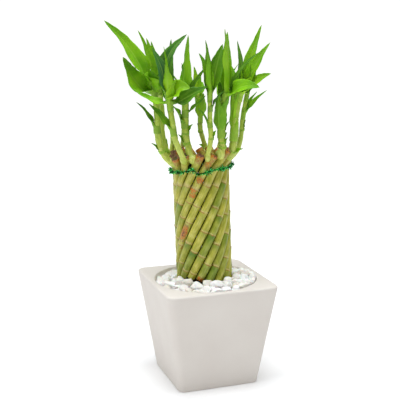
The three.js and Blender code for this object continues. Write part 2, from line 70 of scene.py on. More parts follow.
PLANT_YAW = -19.5
CANES = 16
RING_RADIUS = 26.3  # from the bundle's middle to each cane's middle
CANE_RADIUS = 4.52
SKIN_SINK = 0.1  # how far a cane lies inside that radius between its nodes
CANE_FOOT = 76
TWIST = 1.1  # degrees round the bundle for each millimetre up
FIRST_ANGLE = -84
CANE_FRONT = -90  # the side that faces the camera
LOWEST_NODE = 120
LEAN_START = 115
LEAN_X = -1.5
LEAN_PER_MM = -0.034

TIE_HEIGHT = 234  # where the canes begin to part
WIRE_HEIGHT = 235
TIE_RADIUS = 32.2
TIE_SLOPE = 0.1
WIRE_RADIUS = 0.3
WIRE_OFFSET = 0.4  # of each wire from the middle of the twisted pair
WIRE_TURNS = 22

CAMERA_PLACE = Vector((-6.3, -898.7, 375.7))
CAMERA_PITCH = 11.13  # degrees below the horizon
CAMERA_LENS = 75.76  # on a 36 mm wide picture
AMBIENT = 0.28  # how strongly the white room lights the scene
BACKDROP = 1.1  # how bright the room itself looks
LIGHT_COLOUR = (0.95, 0.975, 1.0)
LIGHT_AIM = Vector((0, 0, 0.2))
LIGHTS = [  # name, place, size and power
    ("Key", (-1.3, -0.5, 1.1), 0.8, 4.6),
    ("Fill", (0.7, -1.3, 0.9), 0.8, 0.2),
    ("Top", (0.0, -0.08, 1.65), 1.1, 31),
]
FLOOR_HALF = 60.0  # metres

UP = Vector((0, 0, 1))
TO_METRES = Matrix.Scale(0.001, 4)
TO_ROW = Matrix.Rotation(radians(PLANT_YAW), 4, "Z") @ TO_METRES

# how finely each piece is made
POT_SIDES = 160
POT_ROWS = 14
EDGE_ROWS = 6
WELL_ROWS = 10
SOIL_SIDES = 72
SOIL_RINGS = 20
CHIP_SIDES = 18
CHIP_RINGS = 12
CANE_SIDES = 20
CANE_ROWS = 62
WIRE_SIDES = 6
TIE_ROWS = 200
STEM_SIDES = 14
STEM_ROWS = 60
LEAF_COLUMNS = 10
LEAF_ROWS = 26

# -------- small tools


class Draw:
    """Repeatable draws between low and high."""

    def __init__(self, seed):
        self.state = seed

    def __call__(self, low, high):
        self.state = self.state * 16807 % 2147483647
        return low + (high - low) * self.state / 2147483647

    def box(self):
        """A point in a cube that reaches from -1 to 1."""
        return Vector((self(-1, 1), self(-1, 1), self(-1, 1)))


def clamp(value, low=0.0, high=1.0):
    return max(low, min(high, value))


def lerp(a, b, share):
    return a + (b - a) * share


def smooth(low, high, value):
    t = clamp((value - low) / (high - low))
    return t * t * (3 - 2 * t)


def steps(points, value):
    """The height at value of a soft curve through points (value, height)."""
    for (v0, h0), (v1, h1) in zip(points, points[1:]):
        if value <= v1:
            return lerp(h0, h1, smooth(v0, v1, value))
    return points[-1][1]


def turns(count, start=0.0):
    """Equal turns, all the way round."""
    return [2 * pi * (i + start) / count for i in range(count)]


def polar(radius, turn, height=0.0):
    """The point at a distance from the middle, a turn round it and a height."""
    return Vector((radius * cos(turn), radius * sin(turn), height))


def spline(points, t):
    """The point at share t of a centripetal Catmull-Rom curve through points, as in the solids' stems."""
    last = len(points) - 1
    i = min(int(t * last), last - 1)
    w = t * last - i
    p1, p2 = points[i], points[i + 1]
    p0 = points[i - 1] if i else 2 * p1 - p2
    p3 = points[i + 2] if i + 2 <= last else 2 * p2 - p1
    d0, d1, d2 = (sqrt((b - a).length) or 1e-3 for a, b in ((p0, p1), (p1, p2), (p2, p3)))
    m1 = ((p1 - p0) / d0 - (p2 - p0) / (d0 + d1) + (p2 - p1) / d1) * d1
    m2 = ((p2 - p1) / d1 - (p3 - p1) / (d1 + d2) + (p3 - p2) / d2) * d1
    return p1 + m1 * w + (3 * (p2 - p1) - 2 * m1 - m2) * w**2 + (2 * (p1 - p2) + m1 + m2) * w**3


class Skin:
    """A mesh in the making. Each point carries two triples of numbers that the materials read."""

    def __init__(self):
        self.points = []
        self.grain = []
        self.tone = []
        self.faces = []
        self.kinds = []

    def row(self, places, grain=None, tone=None):
        first = len(self.points)
        self.points.extend(places)
        self.grain.extend(grain or places)
        self.tone.extend(tone or [(0, 0, 0)] * len(places))
        return list(range(first, len(self.points)))

    def band(self, low, high, kind=0, closed=True):
        count = len(low)
        for i in range(count if closed else count - 1):
            j = (i + 1) % count
            self.faces.append((low[i], low[j], high[j], high[i]))
            self.kinds.append(kind)

    def cap(self, row, kind=0):
        self.faces.append(tuple(row))
        self.kinds.append(kind)

    def bands(self, rows, kind=0, closed=True):
        for low, high in zip(rows, rows[1:]):
            self.band(low, high, kind, closed)

    def tube(self, rows):
        """Bands from row to row, closed at both ends."""
        self.bands(rows)
        self.cap(rows[0][::-1])
        self.cap(rows[-1])

    def make(self, name, materials, node, place=TO_ROW):
        mesh = bpy.data.meshes.new(name)
        mesh.from_pydata([place @ Vector(p) for p in self.points], [], self.faces)
        for label, values in (("grain", self.grain), ("tone", self.tone)):
            layer = mesh.attributes.new(label, "FLOAT_VECTOR", "POINT")
            layer.data.foreach_set("vector", [float(x) for v in values for x in v])
        for material in materials:
            mesh.materials.append(material)
        mesh.polygons.foreach_set("material_index", self.kinds)
        mesh.polygons.foreach_set("use_smooth", [True] * len(self.faces))
        mesh.update()
        piece = add_object(name, mesh)
        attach(piece, "root")
        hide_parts(node)


def spokes(along, count):
    """Equal turns about a direction, each with the way out there."""
    across = Vector((0, -1, 0)).cross(along).normalized()
    over = across.cross(along).normalized()
    return [(turn, across * cos(turn) + over * sin(turn)) for turn in turns(count)]


def add_object(name, data):
    made = bpy.data.objects.new(name, data)
    bpy.context.scene.collection.objects.link(made)
    return made


# -------- materials


def colour(hex_code):
    """A colour as a screen shows it, in the linear values that shaders take."""
    shares = [int(hex_code[i : i + 2], 16) / 255 for i in (0, 2, 4)]
    linear = [s / 12.92 if s <= 0.04045 else ((s + 0.055) / 1.055) ** 2.4 for s in shares]
    return (*linear, 1)


class Finish:
    """A material and the nodes that drive its shader."""

    def __init__(self, name, **constants):
        self.material = bpy.data.materials.new(name)
        self.material.use_nodes = True
        self.tree = self.material.node_tree
        self.shader = self.tree.nodes["Principled BSDF"]
        self.fill(self.shader, constants)

    def put(self, socket, value):
        if isinstance(value, bpy.types.NodeSocket):
            self.tree.links.new(value, socket)
        else:
            socket.default_value = value

    def fill(self, node, values):
        for name, value in values.items():
            self.put(node.inputs[name.replace("_", " ")], value)

    def node(self, kind, **values):
        node = self.tree.nodes.new("ShaderNode" + kind)
        self.fill(node, values)
        return node

    def drive(self, name, value):
        self.put(self.shader.inputs[name], value)

    def read(self, attribute):
        """The three numbers kept at each point, together and one by one."""
        node = self.node("Attribute")
        node.attribute_name = attribute
        parts = self.node("SeparateXYZ", Vector=node.outputs["Vector"])
        return node.outputs["Vector"], *parts.outputs

    def place(self):
        return self.node("TexCoord").outputs["Object"]

    def maths(self, operation, *values, clamped=False):
        node = self.node("Math")
        node.operation = operation
        node.use_clamp = clamped
        for socket, value in zip(node.inputs, values):
            self.put(socket, value)
        return node.outputs[0]

    def noise(self, vector, scale, detail=2.0, roughness=0.5):
        node = self.node("TexNoise", Vector=vector, Scale=scale, Detail=detail, Roughness=roughness)
        return node.outputs["Fac"]

    def fibres(self, grain, across, along, detail, roughness=0.5):
        """Noise by how fast it changes across and along a stem or a blade."""
        node = self.node("VectorMath")
        node.operation = "MULTIPLY"
        self.put(node.inputs[0], grain)
        self.put(node.inputs[1], (across, along, 1))
        return self.noise(node.outputs[0], 1.0, detail, roughness)

    def between(self, value, low, high, most=1):
        """A value's soft rise from 0 at low to most at high."""
        node = self.node("MapRange", Value=value, From_Min=low, From_Max=high)
        node.interpolation_type = "SMOOTHSTEP"
        rise = node.outputs["Result"]
        return rise if most == 1 else self.maths("MULTIPLY", rise, most)

    def range(self, value, low, high):
        """A value from 0 to 1 spread from low to high."""
        return self.maths("MULTIPLY_ADD", value, high - low, low)

    def ramp(self, value, stops):
        node = self.node("ValToRGB", Fac=value)
        elements = node.color_ramp.elements
        while len(elements) < len(stops):
            elements.new(1)
        for element, (at, hex_code) in zip(elements, stops):
            element.position = at
            element.color = colour(hex_code)
        return node.outputs["Color"]

    def mix(self, share, first, second):
        node = self.node("Mix", Factor=share)
        node.data_type = "RGBA"
        for name, value in (("A", first), ("B", second)):
            socket = next(s for s in node.inputs if s.name == name and s.type == "RGBA")
            self.put(socket, colour(value) if isinstance(value, str) else value)
        return next(s for s in node.outputs if s.type == "RGBA")

    def bump(self, height, distance):
        self.drive("Normal", self.node("Bump", Height=height, Distance=distance).outputs["Normal"])


def ceramic():
    """Satin white glaze, with faint clouds in it and a dimpled skin."""
    made = Finish("Ceramic", Coat_Weight=0.04, Coat_Roughness=0.4, Specular_IOR_Level=0.2)
    place = made.place()
    clouds = made.noise(place, 22, 3)
    made.drive("Base Color", made.ramp(clouds, [(0.3, "ddd6cf"), (0.7, "e2dcd5")]))
    made.drive("Roughness", made.range(made.noise(place, 160, 2), 0.5, 0.6))
    made.bump(made.noise(place, 320, 3), 0.00006)
    return made.material


def earth():
    made = Finish("Earth", Specular_IOR_Level=0.2)
    place = made.place()
    crumbs = made.noise(place, 420, 6, 0.7)
    made.drive("Base Color", made.ramp(crumbs, [(0.3, "1d130c"), (0.55, "3d2a1c"), (0.75, "5d452f")]))
    made.drive("Roughness", made.range(crumbs, 0.85, 1.0))
    made.bump(crumbs, 0.0008)
    return made.material


def marble():
    """White chips. tone is: how pale a chip is, and how stained."""
    made = Finish("Marble", Subsurface_Weight=0.12, Subsurface_Scale=0.002)
    place = made.place()
    _, own, warm, _ = made.read("tone")
    white = made.ramp(own, [(0.0, "f2f0ea"), (0.3, "faf9f6"), (1.0, "ffffff")])
    stained = made.mix(made.maths("MULTIPLY", warm, 0.55), white, "cdbf9f")
    veins = made.between(made.noise(place, 130, 4, 0.65), 0.56, 0.7, 0.3)
    made.drive("Base Color", made.mix(veins, stained, "b9b2a4"))
    made.drive("Roughness", made.range(made.noise(place, 500, 2), 0.45, 0.75))
    made.bump(made.noise(place, 900, 5, 0.65), 0.00035)
    return made.material


def cane_skin():
    """Waxy yellow-green. grain runs round and along.

    tone is: place between two nodes, how scarred or, below 0, how far the skin faces into the bundle,
    which is painted shade between the canes, and greenness."""
    made = Finish("Cane_skin", Specular_IOR_Level=0.4, Coat_Weight=0.12, Coat_Roughness=0.3)
    grain, _, _, _ = made.read("grain")
    _, part, scar, green = made.read("tone")
    streaks = made.fibres(grain, 1.6, 0.09, 4, 0.6)
    clouds = made.fibres(grain, 0.22, 0.12, 3)
    pale = made.ramp(clouds, [(0.3, "a5a629"), (0.52, "c2bd48"), (0.74, "ded779")])
    fresh = made.ramp(clouds, [(0.3, "47720c"), (0.7, "78981e")])
    below = made.between(part, 0.55, 0.97, 0.9)
    greened = made.maths("MULTIPLY", below, green, clamped=True)
    body = made.mix(greened, pale, fresh)
    overall = made.mix(made.between(green, 0.55, 1.1, 0.6), body, fresh)
    streaked = made.mix(made.range(made.between(streaks, 0.35, 0.7), 0.0, 0.5), overall, "6f7a1a")
    collar = made.mix(made.between(part, 0.1, 0.0, 0.75), streaked, "c9b878")
    specks = made.between(made.fibres(grain, 1.1, 0.8, 3, 0.7), 0.66, 0.74, 0.5)
    speckled = made.mix(specks, collar, "8d7436")
    mottle = made.fibres(grain, 0.9, 0.5, 4, 0.7)
    uneven = made.range(made.between(mottle, 0.4, 0.6), 0.3, 1.1)
    rough_scar = made.maths("MULTIPLY", scar, uneven, clamped=True)
    faint = [(0.0, "8c7a30"), (0.3, "8a6432"), (0.46, "96622c")]
    strong = [(0.6, "de8400"), (0.88, "b85a0e"), (1.0, "5a4228")]
    scars = made.ramp(rough_scar, faint + strong)
    marked = made.mix(made.between(rough_scar, 0.06, 0.5), speckled, scars)
    # Painted shade between canes: skin that faces into the bundle goes nearly black.
    painted_crevice_shade = made.between(scar, -0.04, -0.62)
    made.drive("Base Color", made.mix(painted_crevice_shade, marked, "141204"))
    made.drive("Roughness", made.range(streaks, 0.32, 0.5))
    made.bump(streaks, 0.00012)
    return made.material


def cane_cut():
    """The corky end of a cut cane, darker at its rim and in its pith. grain runs across it."""
    made = Finish("Cane_cut", Specular_IOR_Level=0.3)
    grain, _, _, _ = made.read("grain")
    _, out, own, _ = made.read("tone")
    spots = made.noise(grain, 1.4, 5, 0.7)
    fresh = made.ramp(out, [(0.0, "3f5a1d"), (0.45, "5c6b2a"), (0.75, "a98a5c"), (1.0, "7a5135")])
    old = made.ramp(out, [(0.0, "5a3a28"), (0.6, "7b4f39"), (1.0, "5b3427")])
    body = made.mix(own, fresh, old)
    made.drive("Base Color", made.mix(made.between(spots, 0.5, 0.68), body, "3b2419"))
    made.drive("Roughness", made.range(spots, 0.6, 0.95))
    made.bump(spots, 0.0006)
    return made.material


def stem_skin():
    """Sheathed green stem. tone is: place up the stem, place up its sheath, and how pale its foot is."""
    made = Finish("Stem_skin", Coat_Weight=0.1)
    grain, _, _, _ = made.read("grain")
    _, height, sheath, own = made.read("tone")
    ribs = made.fibres(grain, 2.6, 0.05, 3, 0.6)
    clouds = made.fibres(grain, 0.3, 0.12, 2)
    green = made.ramp(clouds, [(0.25, "8eb020"), (0.75, "bccf48")])
    light = made.ramp(clouds, [(0.25, "c2cc48"), (0.75, "e4e47e")])
    foot = made.maths("SUBTRACT", 1.0, made.between(height, 0.05, 0.75))
    body = made.mix(made.maths("MULTIPLY", foot, own, clamped=True), green, light)
    ribbed = made.mix(made.range(made.between(ribs, 0.4, 0.65), 0.0, 0.5), body, "6c9422")
    lip = made.between(sheath, 0.88, 0.98, 0.55)
    made.drive("Base Color", made.mix(lip, ribbed, "c6cf86"))
    made.drive("Roughness", made.range(ribs, 0.34, 0.5))
    made.bump(ribs, 0.0002)
    return made.material


def leaf_skin():
    """Glossy blade with veins that run along it. grain is: across in mm, along in mm, own number.

    tone is: place from the foot to the tip, the leaf's shade, which is partly its own colour and partly
    painted light and shade, and place from the midrib to the edge."""
    made = Finish("Leaf_skin", Subsurface_Weight=0.15, Subsurface_Scale=0.001, Specular_IOR_Level=0.16)
    made.shader.inputs["Subsurface Radius"].default_value = (0.7, 1.0, 0.2)
    grain, _, _, _ = made.read("grain")
    _, along, shade, across = made.read("tone")
    veins = made.fibres(grain, 2.2, 0.012, 4, 0.65)
    clouds = made.fibres(grain, 0.16, 0.06, 3)
    deep = made.ramp(clouds, [(0.3, "27560a"), (0.75, "3e7012")])
    middle = made.ramp(clouds, [(0.3, "60a00c"), (0.75, "8abe1a")])
    bright = made.ramp(clouds, [(0.3, "7cb408"), (0.75, "a0c826")])
    # The shade number picks deep, middle or bright green, and bluish below 0.14: partly the leaf's own
    # colour, partly painted shade and light.
    darker = made.mix(made.between(shade, 0.0, 0.5), deep, middle)
    lively = made.mix(made.between(shade, 0.5, 1.0), darker, bright)
    body = made.mix(made.between(shade, 0.14, 0.0, 0.6), lively, "33604a")
    veined = made.mix(made.range(made.between(veins, 0.42, 0.62), 0.0, 0.26), body, "8fc03c")
    rib = made.between(across, 0.1, 0.0, 0.4)
    ribbed = made.mix(rib, veined, "a5c95a")
    foot = made.mix(made.between(along, 0.16, 0.0, 0.55), ribbed, "9cbc4a")
    tip = made.between(along, 0.5, 0.95, 0.45)
    made.drive("Base Color", made.mix(tip, foot, "3f7a14"))
    made.drive("Roughness", made.range(veins, 0.26, 0.42))
    made.bump(veins, 0.0002)
    return made.material


def foil():
    """Green metal foil, crinkled, with painted glints: pale patches over dark green stand in for highlights.
    """
    made = Finish("Foil", Metallic=0.75)
    place = made.place()
    crinkle = made.noise(place, 900, 2)
    bright = made.ramp(crinkle, [(0.38, "0c9a30"), (0.5, "20e054"), (0.6, "98ffae")])
    # Painted light and shade: noise picks bright, glinting patches over dark foil.
    painted_glints = made.between(made.noise(place, 300, 2), 0.42, 0.53)
    made.drive("Base Color", made.mix(painted_glints, "003a10", bright))
    made.drive("Roughness", made.range(crinkle, 0.12, 0.35))
    made.bump(crinkle, 0.0002)
    return made.material


# -------- pot


def square_row(side, corner, height):
    """Points round a square with round corners, one for each equal turn about its middle."""
    half = side / 2
    inner = half - corner
    places = []
    for turn in turns(POT_SIDES, 0.5):
        c, s = abs(cos(turn)), abs(sin(turn))
        reach = half / max(c, s)
        if min(c, s) * reach > inner:
            along = inner * (c + s)
            reach = along + sqrt(along**2 - 2 * inner**2 + corner**2)
        places.append(polar(reach, turn, height))
    return places


def round_row(radius, height, count=POT_SIDES):
    return [polar(radius, turn, height) for turn in turns(count, 0.5)]


def well_radius(height):
    return lerp(WELL_RADIUS, MOUTH_RADIUS, (height - POT_FLOOR) / (POT_HEIGHT - POT_FLOOR))


def pot_outside(quarter):
    """Rows up the pot's outside, from under its rounded foot to its rim."""
    rows = []
    for turn in quarter:
        inset = POT_EDGE * (1 - sin(turn))
        corner = POT_CORNER * POT_BASE_SIDE / POT_TOP_SIDE
        side = POT_BASE_SIDE - 2 * inset
        rows.append(square_row(side, corner - inset, POT_EDGE * (1 - cos(turn))))
    for i in range(1, POT_ROWS):
        side = lerp(POT_BASE_SIDE, POT_TOP_SIDE, i / POT_ROWS)
        height = lerp(POT_EDGE, POT_HEIGHT - POT_EDGE, i / POT_ROWS)
        rows.append(square_row(side, POT_CORNER * side / POT_TOP_SIDE, height))
    for turn in quarter:
        inset = POT_EDGE * (1 - cos(turn))
        height = POT_HEIGHT - POT_EDGE * (1 - sin(turn))
        rows.append(square_row(POT_TOP_SIDE - 2 * inset, POT_CORNER - inset, height))
    return rows


def pot_inside(quarter, rim):
    """Rows over the flat rim, round the mouth's lip and down the well."""
    lip = round_row(MOUTH_RADIUS + MOUTH_LIP, POT_HEIGHT)
    rows = []
    for share in (0.3, 0.7):
        rim = [a.lerp(b, share) for a, b in zip(rim, lip)]
        rows.append(rim)
    for turn in quarter:
        radius = MOUTH_RADIUS + MOUTH_LIP * (1 - sin(turn))
        rows.append(round_row(radius, POT_HEIGHT - MOUTH_LIP * (1 - cos(turn))))
    for i in range(1, WELL_ROWS + 1):
        height = lerp(POT_HEIGHT - MOUTH_LIP, POT_FLOOR, i / WELL_ROWS)
        rows.append(round_row(well_radius(height), height))
    return rows


def make_pot(material):
    skin = Skin()
    quarter = [pi / 2 * i / EDGE_ROWS for i in range(EDGE_ROWS + 1)]
    rows = pot_outside(quarter)
    rows += pot_inside(quarter, rows[-1])
    skin.tube([skin.row(places) for places in rows])
    skin.make("Pot", [material], "pot", place=TO_METRES)


# -------- soil and pebbles

# Each layer of stones: how many, how far below the top, and how far apart.
STONE_LAYERS = [(58, 6.5, 11.0), (62, 3.0, 11.0), (66, 0.0, 11.4)]
CHIP_CUTS = 11
SPREAD_ROUNDS = 60


def bed_level(x, y):
    """The stones' level, lowest at the pot's wall, and tilted up to the front and the right."""
    from_wall = 1 - (hypot(x, y) - MOUND_RADIUS) / (MOUTH_RADIUS - MOUND_RADIUS)
    return BED_EDGE + BED_MOUND * min(1, from_wall) + BED_TILT * (0.9 * x - y) / MOUTH_RADIUS


def make_soil(material):
    """Soil from the pot's floor up, with a crumbly top that also fills the bundle's middle."""
    skin = Skin()
    foot = POT_FLOOR + WALL_GAP
    widest = well_radius(SOIL_TOP) - WALL_GAP
    rows = [round_row(well_radius(foot) - WALL_GAP, foot, SOIL_SIDES)]
    rows.append(round_row(widest, SOIL_TOP, SOIL_SIDES))
    for i in range(1, SOIL_RINGS):
        radius = widest * (1 - i / SOIL_RINGS)
        heap = SOIL_HEAP * smooth(*HEAP_SLOPE, radius)
        places = round_row(radius, SOIL_TOP, SOIL_SIDES)
        for p in places:
            p.z += heap + SOIL_CRUMBS * noise.fractal(p * 0.16, 0.8, 2.0, 4)
        rows.append(places)
    skin.tube([skin.row(places) for places in rows])
    skin.make("Soil", [material], "soil")


def ball(rings, sides):
    """Unit directions over a ball, and the faces between them."""
    spots = [Vector((0, 0, -1))]
    for i in range(1, rings):
        tip = pi * i / rings
        spots += [polar(sin(tip), turn, -cos(tip)) for turn in turns(sides, 0.5 * (i % 2))]
    spots.append(UP)
    faces = [(0, 1 + (j + 1) % sides, 1 + j) for j in range(sides)]
    for i in range(rings - 2):
        for j in range(sides):
            a, b = 1 + i * sides + j, 1 + i * sides + (j + 1) % sides
            faces.append((a, b, b + sides, a + sides))
    top = len(spots) - 1
    faces += [(top, top - sides + j, top - sides + (j + 1) % sides) for j in range(sides)]
    return spots, faces


def between_walls(at):
    """A stone's point, kept off the pot's wall and off the canes."""
    out = Vector((at.x, at.y, 0))
    reach = clamp(out.length, BED_HOLE, well_radius(min(at.z, POT_HEIGHT)) - WALL_GAP)
    return out * (reach / out.length) + UP * at.z


def add_chip(skin, draw, middle, size):
    """A chip of marble: a ball cut by random planes and left a little rough."""
    spots, faces = ball(CHIP_RINGS, CHIP_SIDES)
    planes = []
    for _ in range(CHIP_CUTS):
        turn = draw(0, 2 * pi)
        rise = asin(draw(-1, 1))
        planes.append((polar(cos(rise), turn, sin(rise)), draw(0.55, 0.86)))
    scale = Vector((size * draw(1.0, 1.35), size * draw(0.8, 1.05), size * draw(0.65, 0.9)))
    turned = Matrix.Rotation(draw(0, 6.3), 3, "Z") @ Matrix.Rotation(draw(-0.5, 0.5), 3, "X")
    shift = Vector((draw(0, 90), draw(0, 90), draw(0, 90)))
    places = []
    for spot in spots:
        at = spot.copy()
        for normal, depth in planes:
            at -= normal * 0.9 * max(0, at.dot(normal) - depth)
        at *= 1 + 0.07 * noise.noise(spot * 1.7 + shift) + 0.025 * noise.noise(spot * 5 + shift)
        places.append(between_walls(middle + turned @ Vector([a * b for a, b in zip(at, scale)])))
    tone = (draw(0, 1), draw(0, 1) ** 4, 0)
    first = skin.row(places, tone=[tone] * len(places))[0]
    for face in faces:
        skin.cap([first + corner for corner in face])


def spread_spots(draw, count, inside, outside, apart):
    """Spots in a ring, pushed away from each other until they lie evenly."""
    spots = []
    for _ in range(count):
        turn = draw(0, 2 * pi)
        spots.append(polar(sqrt(draw(inside**2, outside**2)), turn))
    for _ in range(SPREAD_ROUNDS):
        for i, a in enumerate(spots):
            for b in spots[i + 1 :]:
                gap = a - b
                if 0 < gap.length < apart:
                    push = gap.normalized() * (apart - gap.length) * 0.25
                    a += push
                    b -= push
            a *= clamp(a.length, inside, outside) / a.length
    return spots


def make_pebbles(material):
    skin = Skin()
    draw = Draw(77)
    for count, drop, apart in STONE_LAYERS:
        for spot in spread_spots(draw, count, BED_HOLE + 4.5, MOUTH_RADIUS - 4, apart):
            height = bed_level(spot.x, spot.y) + draw(2.6, 4.6) - drop
            height += FRONT_HEAP * smooth(8, 30, -spot.y) * smooth(46, 36, spot.length)
            add_chip(skin, draw, Vector((spot.x, spot.y, height)), draw(5.2, 7.0))
    skin.make("Pebbles", [material], "pebbles")


# -------- canes

# turn, spread and top of each cane past the tie, counted from the front to the right.
CANE_TOPS = [
    (24, 30, 252), (33, 33, 256), (32, 35, 254), (30, 35, 253), (27, 34, 252), (24, 32, 251),
    (22, 31, 253), (20, 30, 251), (19, 30, 250), (18, 30, 252), (17, 30, 250), (16, 30, 251),
    (14, 31, 249), (8, 33, 248), (8, 31, 252), (18, 29, 252),
]

# The heights of the nodes that show at the front. All lower ones are drawn.
FRONT_NODES = {
    0: [216, 202, 185, 160],
    1: [219, 198, 180, 154, 132],
    2: [218, 191, 157, 134],
    3: [220, 195, 170, 148, 126],
    4: [203, 185, 166, 143],
    5: [215, 185, 155, 134],
    6: [208, 187, 164, 131],
    7: [212, 190, 166, 138],
    8: [214, 192, 167, 146, 123],
    13: [218, 197, 175],
    14: [219, 200, 178],
    15: [219, 199, 172],
}

# Two canes end just above the stones.
SHORT_FEET = {4: 117.5, 5: 116.5}

# Greenness of the front canes' stretches, from the one above the top node down.
GREENNESS = {
    0: [0.3, 0.35, 0.3, 0.6, 0.4],
    1: [0.35, 0.2, 0.25, 0.2, 0.3, 0.6],
    2: [0.3, 0.25, 0.25, 0.8, 0.5],
    3: [0.3, 1.2, 0.5, 0.4, 1.3, 0.5],
    4: [0.3, 0.5, 0.9, 1.3, 0.6],
    5: [0.3, 0.3, 0.5, 0.7, 0.7],
    6: [0.3, 0.4, 0.5, 0.9, 0.9],
    13: [0.3, 0.5, 0.3, 0.5],
    14: [0.3, 0.5, 0.5, 1.1],
    15: [0.3, 0.5, 1.0, 0.9],
}

# Scars: height, half length, strength, and how many degrees round from the side facing the camera.
SCARS = {
    0: [(226, 3.4, 1.0, 10), (210, 2.4, 1.0, 0), (214.5, 2.2, 0.8, -40), (243, 6, 0.6, 0)],
    1: [(168, 8, 1.15, -35), (150, 3, 0.6, 30)],
    2: [(243, 4, 0.35, 0)],
    5: [(117, 3, 1.2, 0)],
}

NODE_REACH = 2.6  # how far from a node the rows are set by NODE_ROWS
NODE_ROWS = (-2.6, -1.9, -1.2, -0.6, -0.2, 0.2, 0.6, 1.0, 1.5, 2.2)
CUT_DEPTH = 0.5  # of the rounded edge under a cane's cut top
CUT_RINGS = ((3.85, -0.05), (3.3, 0.0), (2.8, -0.7), (1.4, -1.3))  # radius, and height from the top


def bundle_middle(z):
    return LEAN_X + LEAN_PER_MM * (z - LEAN_START)


def cane_axis(k, z):
    turn, spread, top = CANE_TOPS[k]
    past = max(0, (z - TIE_HEIGHT) / (top - TIE_HEIGHT))
    below = min(0, z - TIE_HEIGHT)
    angle = radians(FIRST_ANGLE + 360 * k / CANES + TWIST * below + turn * past)
    radius = RING_RADIUS + (spread - RING_RADIUS) * past**1.5
    return Vector((bundle_middle(z) + radius * cos(angle), radius * sin(angle), z))


def cane_nodes(k):
    draw = Draw(100 + k)
    heights = list(FRONT_NODES.get(k) or [draw(208, 222)])
    z = heights[-1] - draw(19, 26)
    while z > LOWEST_NODE:
        heights.append(z)
        z -= draw(19, 26)
    return heights


def node_swell(distance):
    """How far a cane stands out at a signed height above a node: a thin ridge, its shoulder below it and
    a shallow groove above."""
    ridge = 0.34 * exp(-((distance / 0.55) ** 2))
    shoulder = 0.16 * exp(-(((distance + 1.3) / 1.3) ** 2))
    groove = -0.2 * exp(-(((distance - 1.1) / 0.6) ** 2))
    return ridge + shoulder + groove


class Cane:
    """The numbers of one cane, and the rings of points that they give."""

    def __init__(self, k):
        draw = Draw(300 + k)
        self.k = k
        self.top = CANE_TOPS[k][2]
        self.foot = SHORT_FEET.get(k, CANE_FOOT)
        self.nodes = cane_nodes(k)
        self.bounds = [self.top + 12, *self.nodes, min(self.nodes[-1] - 22, CANE_FOOT - 1)]
        greens = GREENNESS.get(k, [])
        missing = len(self.bounds) - 1 - len(greens)
        self.greens = greens + [draw(0.15, 0.9) for _ in range(missing)]
        self.tilt = [draw(-0.5, 0.5) for _ in self.nodes]
        self.age = clamp(draw(-0.3, 1.3))

    def heights(self):
        last = self.top - CUT_DEPTH
        heights = {self.foot + (last - self.foot) * i / CANE_ROWS for i in range(CANE_ROWS + 1)}
        for node in self.nodes:
            heights = {h for h in heights if abs(h - node) > NODE_REACH}
            heights |= {node + d for d in NODE_ROWS}
        return sorted(h for h in heights if self.foot <= h <= last)

    def around(self, height, radius, lift=0.0):
        """Each turn round a ring, with the direction out, the reach and the point there."""
        along = (cane_axis(self.k, height + 1) - cane_axis(self.k, height - 1)).normalized()
        middle = cane_axis(self.k, height) + along * lift
        for turn, out in spokes(along, CANE_SIDES):
            reach = radius
            for node, lean in zip(self.nodes, self.tilt):
                if abs(height - node) < 4:
                    reach += node_swell(height - node + lean * cos(turn))
            yield turn, out, reach, middle + out * reach

    def scar(self, height, out):
        """How scarred the skin is at its nodes, below its cut top and where SCARS has a mark."""
        worn = 0.46 * smooth(self.top - 12, self.top - 5, height)
        dried = 0.75 * smooth(self.top - 3, self.top - CUT_DEPTH, height)
        scar = worn + dried
        for node in self.nodes:
            scar = max(scar, 0.56 * exp(-(((height - node + 0.4) / 0.6) ** 2)))
        for at, long, strength, side in SCARS.get(self.k, []):
            aside = cos(atan2(out.y, out.x) - radians(CANE_FRONT) - radians(side))
            near = exp(-(((height - at) / long) ** 2)) * smooth(0.3, 0.9, aside)
            scar = max(scar, strength * near)
        return scar

    def skin_ring(self, height, radius):
        number = sum(bound > height for bound in self.bounds) - 1
        upper, lower = self.bounds[number : number + 2]
        part = (height - lower) / (upper - lower)
        outward = (cane_axis(self.k, height) - UP * height).normalized()
        places, grain, tone = [], [], []
        for turn, out, _, place in self.around(height, radius):
            scar = self.scar(height, out)
            # Away from scars, the side that faces into the bundle gets a value below 0, which the skin turns
            # into painted shade between the canes.
            if scar < 0.1:
                scar = -smooth(-0.35, 0.4, -out.dot(outward))
            places.append(place)
            grain.append((CANE_RADIUS * turn, height, 31.7 * self.k))
            tone.append((part, scar, self.greens[number]))
        return places, grain, tone

    def cut_ring(self, height, radius, lift, age):
        places, grain = [], []
        for turn, _, reach, place in self.around(height, radius, lift):
            places.append(place)
            grain.append((reach * cos(turn), reach * sin(turn), 17.3 * self.k))
        return places, grain, [(radius / CANE_RADIUS, age, 0)] * CANE_SIDES


def make_cane(k, materials):
    cane = Cane(k)
    skin = Skin()
    rows = []
    for height in cane.heights():
        pinch = 0.14 * sin(pi * clamp((height - cane.foot) / 9))
        rows.append(skin.row(*cane.skin_ring(height, CANE_RADIUS - SKIN_SINK - pinch)))
    skin.bands(rows)
    rim = skin.row(*cane.skin_ring(cane.top - 0.05, CANE_RADIUS - 0.35))
    skin.band(rows[-1], rim)
    ends = [skin.row(*cane.cut_ring(cane.top, radius, lift, cane.age)) for radius, lift in CUT_RINGS]
    skin.bands(ends, kind=1)
    skin.band(rim, ends[0], kind=1)
    skin.cap(ends[-1], kind=1)
    low_end = skin.row(*cane.cut_ring(cane.foot, CANE_RADIUS - 0.3, 0.0, 1.0))
    skin.band(low_end, rows[0], kind=1)
    skin.cap(low_end[::-1], kind=1)
    skin.make(f"Cane_{k + 1:02d}", materials, f"cane_{k + 1:02d}")


# -------- tie


